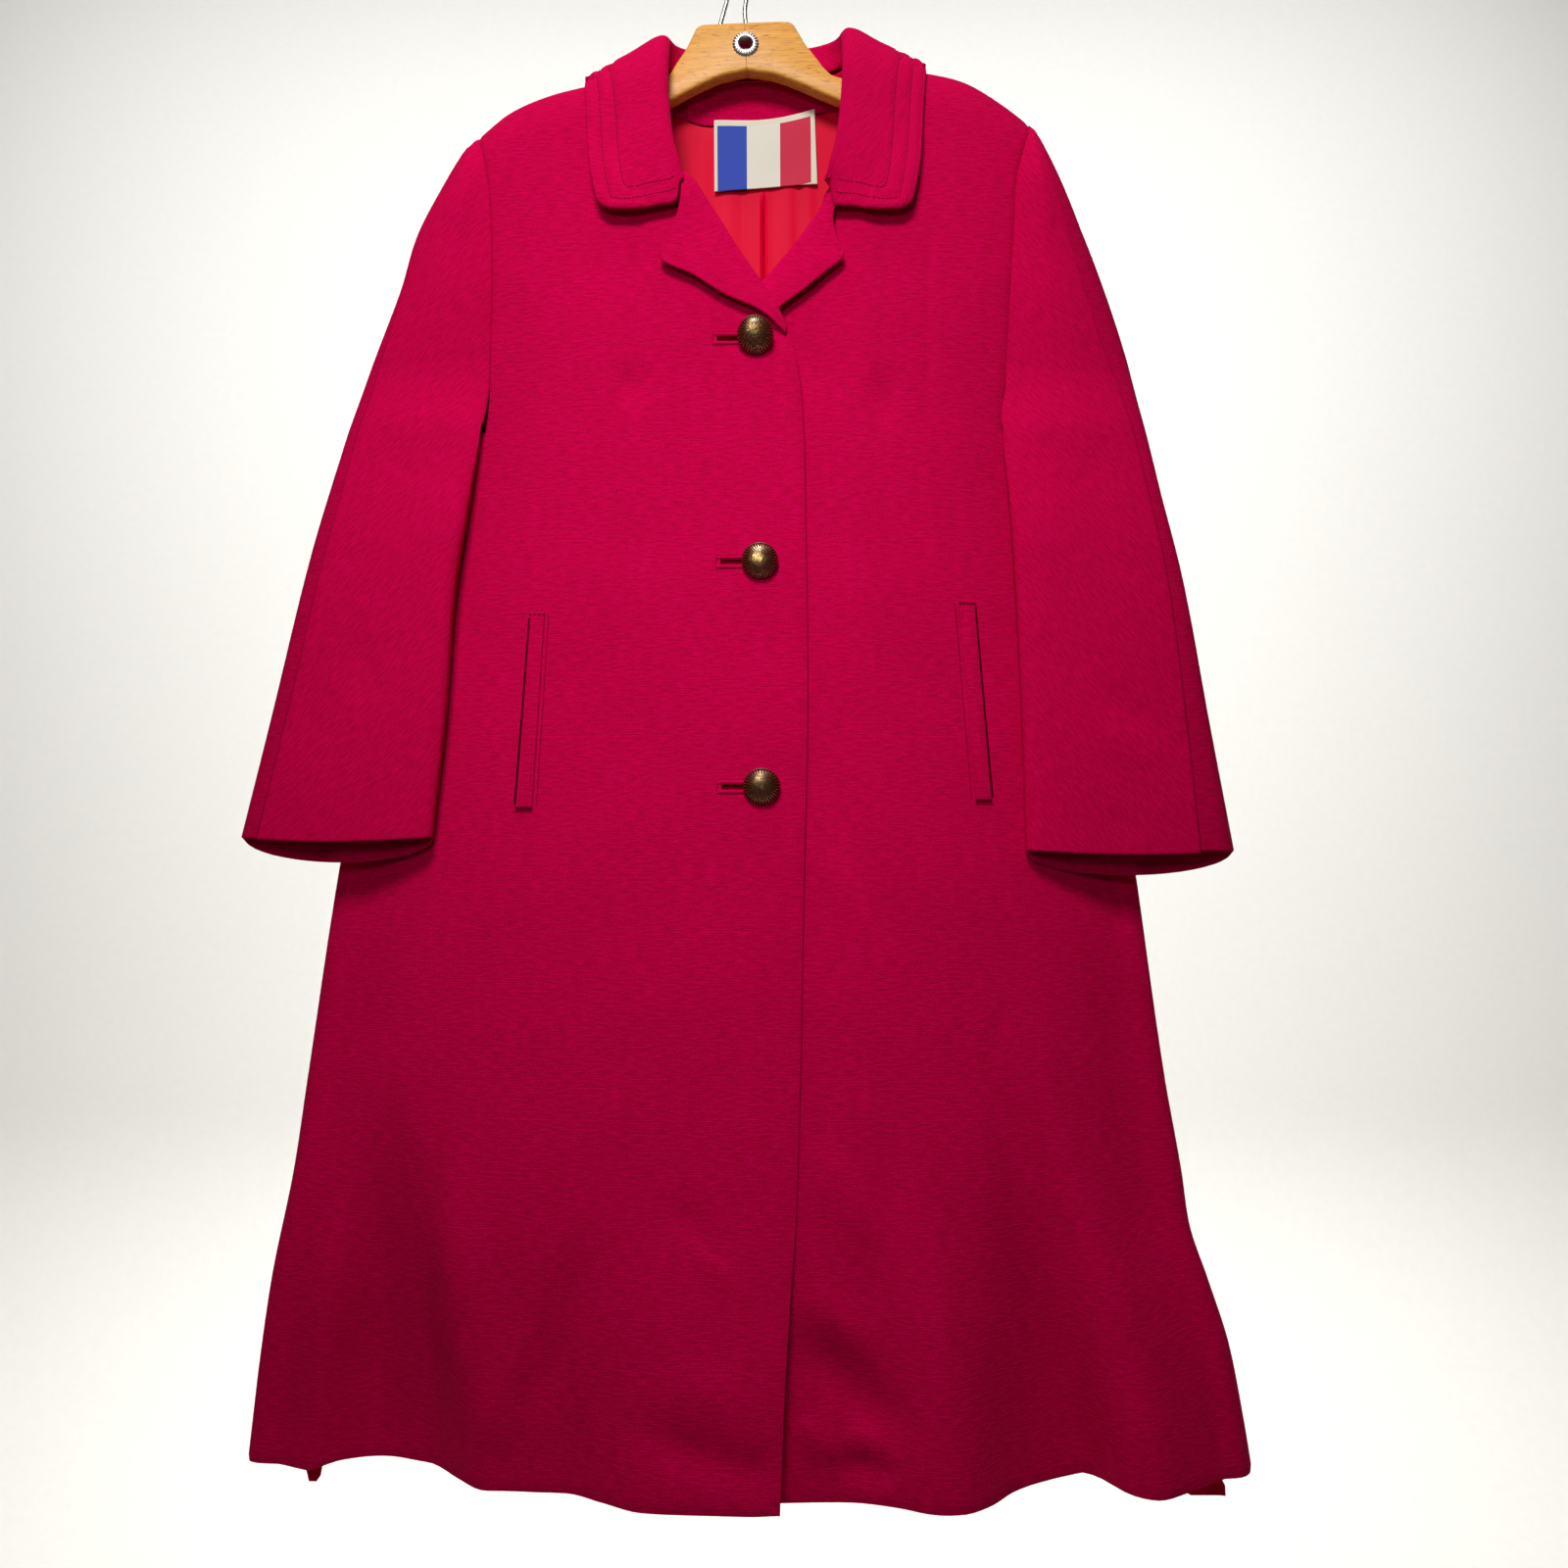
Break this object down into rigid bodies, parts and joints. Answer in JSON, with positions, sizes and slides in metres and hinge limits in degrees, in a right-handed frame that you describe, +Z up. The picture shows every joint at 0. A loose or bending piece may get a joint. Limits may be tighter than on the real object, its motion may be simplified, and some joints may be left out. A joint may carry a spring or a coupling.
{
  "type": "swing coat on a hanger",
  "caption": "Flared coat with an open turned-down collar, short lapels, long two-piece sleeves, domed buttons and upright welt pockets, hanging on a wooden hanger.",
  "frame": {"origin": "inside of the wire hook's bend, where the hook rests on a rail", "axes": "+Z up along the coat's length, -Y toward the viewer of the coat's front, +X toward the wearer's left"},
  "size_m": [0.7431, 0.0912, 1.171],
  "materials": {
    "wool": "ribbed magenta wool crepe",
    "lining": "red satin lining",
    "label": "woven ribbon in blue, white and red stripes",
    "button": "gilt, ribbed",
    "wood": "varnished",
    "plate": "nickel plated"
  },
  "bodies": {
    "root": {"front_right": "wool", "front_left": "wool", "back": "wool", "sleeve_front_right": "wool", "sleeve_front_left": "wool", "sleeve_back_right": "wool", "sleeve_back_left": "wool", "collar": "wool", "lapel_right": "wool", "lapel_left": "wool", "back_neck_facing": "wool", "lining_back": "lining", "label": "label", "welt_right": "wool", "welt_left": "wool", "buttonhole_top": "wool", "buttonhole_middle": "wool", "buttonhole_bottom": "wool", "button_top": "button", "button_middle": "button", "button_bottom": "button", "hanger_half_right": "wood", "hanger_half_left": "wood", "hanger_eyelet": "plate", "hanger_hook": "plate"}
  },
  "joints": []
}
